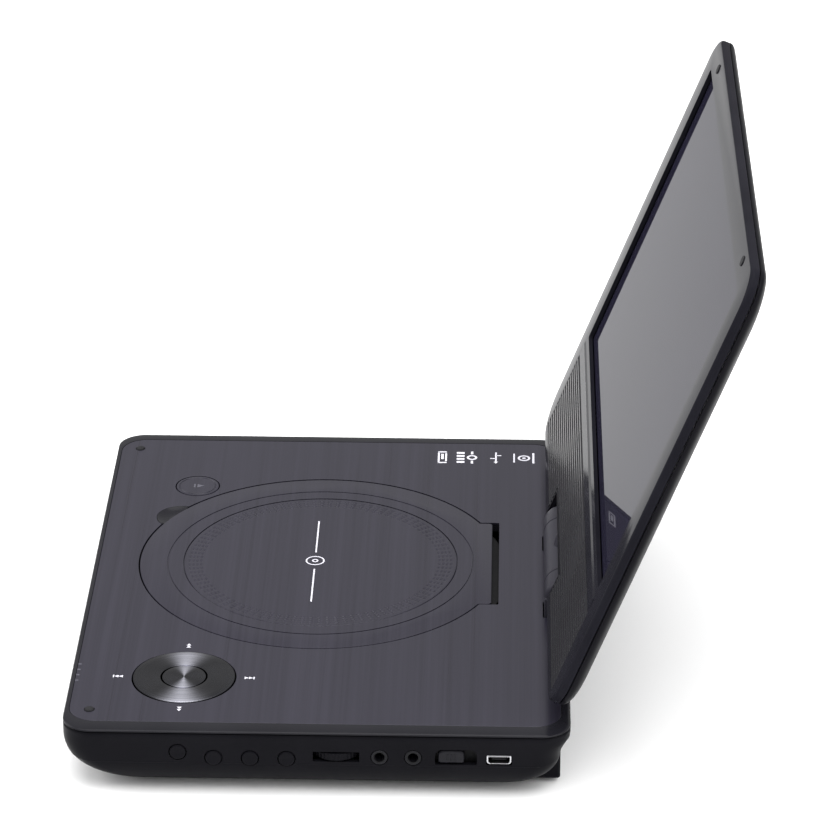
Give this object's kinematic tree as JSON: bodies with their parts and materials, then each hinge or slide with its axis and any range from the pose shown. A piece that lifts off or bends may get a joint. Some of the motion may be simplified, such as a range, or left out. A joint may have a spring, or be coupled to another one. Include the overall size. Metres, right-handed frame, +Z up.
{
  "type": "portable dvd player",
  "caption": "Flat portable disc player with a round disc door, key ring, side sockets and a wide screen on a hinge that tilts, swivels and folds shut.",
  "frame": {"origin": "centre of the base's flat underside", "axes": "+X to the user's right (the side with keys and sockets), +Y to the rear hinge, +Z up"},
  "size_m": [0.2298, 0.2325, 0.1934],
  "materials": {
    "case": "fine satin moulded plastic",
    "gloss": "high gloss moulded plastic",
    "deck": "brushed hairline print under clear lacquer",
    "dark_metal": "dark spun metal",
    "steel": "plain steel",
    "rubber": "matte",
    "board": "solder mask",
    "cell": "shrink wrap",
    "well": "moulded grey plastic",
    "display": "glossy display face",
    "lens": "coated lens"
  },
  "bodies": {
    "base": {"av_jack": "gloss", "base_bottom_shell": "case", "base_top_cover": "gloss", "battery_cover": "case", "battery_pack": "cell", "case_screw_front_left": "steel", "case_screw_front_right": "steel", "case_screw_rear_left": "steel", "case_screw_rear_right": "steel", "deck_bumper_left": "rubber", "deck_bumper_right": "rubber", "deck_plate": "deck", "disc_well": "well", "door_hinge_pin": "steel", "foot_front_left": "rubber", "foot_front_right": "rubber", "foot_rear_left": "rubber", "foot_rear_right": "rubber", "guide_rod_left": "steel", "guide_rod_right": "steel", "headphone_jack": "gloss", "hinge_bracket": "case", "main_board": "board", "mech_chassis": "steel", "nav_switch_board": "board", "sled_motor": "steel", "spindle_motor": "steel", "switch_body": "well", "tilt_shaft": "steel", "usb_port": "steel", "volume_pot": "well"},
    "door": {"disc_door": "gloss"},
    "open_key": {"open_key": "gloss"},
    "door_latch": {"door_latch": "well"},
    "nav_pad": {"nav_pad": "rubber"},
    "nav_ring": {"nav_ring": "dark_metal"},
    "nav_centre_key": {"nav_centre_key": "dark_metal"},
    "side_key_1": {"side_key_1": "case"},
    "side_key_2": {"side_key_2": "case"},
    "side_key_3": {"side_key_3": "case"},
    "side_key_4": {"side_key_4": "case"},
    "volume_wheel": {"volume_wheel": "case"},
    "power_switch": {"power_switch": "gloss"},
    "turntable": {"turntable": "well"},
    "pickup": {"pickup_carriage": "dark_metal", "pickup_lens": "lens"},
    "sled_gear": {"sled_gear": "well"},
    "hinge_knuckle": {"tilt_knuckle": "case"},
    "screen": {"screen_bezel": "gloss", "speaker_grille": "case", "screen_back_shell": "case", "lcd_panel": "display", "driver_board": "board", "speaker_left": "well", "speaker_right": "well", "screen_pad_left": "rubber", "screen_pad_right": "rubber", "swivel_post": "steel"}
  },
  "joints": [
    {"name": "screen_tilt", "type": "hinge", "parent": "base", "child": "hinge_knuckle", "pos_m": [0, 0.0846, 0.0312], "axis": [-1, 0, 0], "range_deg": [-111.4, 25]},
    {"name": "screen_swivel", "type": "hinge", "parent": "hinge_knuckle", "child": "screen", "pos_m": [0, 0.0846, 0.0312], "axis": [0, 0.3649, 0.9311], "range_deg": [0, 180]},
    {"name": "disc_door_hinge", "type": "hinge", "parent": "base", "child": "door", "pos_m": [-0.0099, 0.0564, 0.0222], "axis": [-1, 0, 0], "range_deg": [0, 65]},
    {"name": "open_key_press", "type": "slide", "parent": "base", "child": "open_key", "axis": [0, 0, -1], "range_m": [0, 0.0012], "stiffness_N_per_m": 900},
    {"name": "door_latch_slide", "type": "slide", "parent": "base", "child": "door_latch", "axis": [-0.7689, -0.6394, 0], "range_m": [0, 0.0012]},
    {"name": "nav_rock_front_rear", "type": "hinge", "parent": "base", "child": "nav_pad", "pos_m": [0.078, -0.0471, 0.0213], "axis": [1, 0, 0], "range_deg": [-1.6, 1.6], "stiffness_Nm_per_rad": 1.2},
    {"name": "nav_rock_left_right", "type": "hinge", "parent": "nav_pad", "child": "nav_ring", "pos_m": [0.078, -0.0471, 0.0213], "axis": [0, 1, 0], "range_deg": [-1.6, 1.6], "stiffness_Nm_per_rad": 1.2},
    {"name": "nav_centre_press", "type": "slide", "parent": "base", "child": "nav_centre_key", "axis": [0, 0, -1], "range_m": [0, 0.0006], "stiffness_N_per_m": 900},
    {"name": "side_key_1_press", "type": "slide", "parent": "base", "child": "side_key_1", "axis": [-1, 0, 0], "range_m": [0, 0.0007], "stiffness_N_per_m": 900},
    {"name": "side_key_2_press", "type": "slide", "parent": "base", "child": "side_key_2", "axis": [-1, 0, 0], "range_m": [0, 0.0007], "stiffness_N_per_m": 900},
    {"name": "side_key_3_press", "type": "slide", "parent": "base", "child": "side_key_3", "axis": [-1, 0, 0], "range_m": [0, 0.0007], "stiffness_N_per_m": 900},
    {"name": "side_key_4_press", "type": "slide", "parent": "base", "child": "side_key_4", "axis": [-1, 0, 0], "range_m": [0, 0.0007], "stiffness_N_per_m": 900},
    {"name": "volume_wheel_turn", "type": "hinge", "parent": "base", "child": "volume_wheel", "pos_m": [0.1063, 0.007, 0.0145], "axis": [0, 0, 1], "range_deg": [-135, 135]},
    {"name": "power_switch_slide", "type": "slide", "parent": "base", "child": "power_switch", "axis": [0, 1, 0], "range_m": [0, 0.003]},
    {"name": "turntable_spin", "type": "hinge", "parent": "base", "child": "turntable", "pos_m": [-0.0099, -0.0038, 0.0166], "axis": [0, 0, 1], "continuous": true},
    {"name": "pickup_slide", "type": "slide", "parent": "base", "child": "pickup", "axis": [0, -1, 0], "range_m": [0, 0.032]},
    {"name": "sled_gear_turn", "type": "hinge", "parent": "base", "child": "sled_gear", "pos_m": [0.0161, -0.0448, 0.0103], "axis": [0, 0, 1], "range_deg": [0, 361]}
  ],
  "couplings": [
    {"joint": "door_latch_slide", "follows": "open_key_press", "ratio": 1},
    {"joint": "sled_gear_turn", "follows": "pickup_slide", "rad_per_m": 196.08}
  ]
}
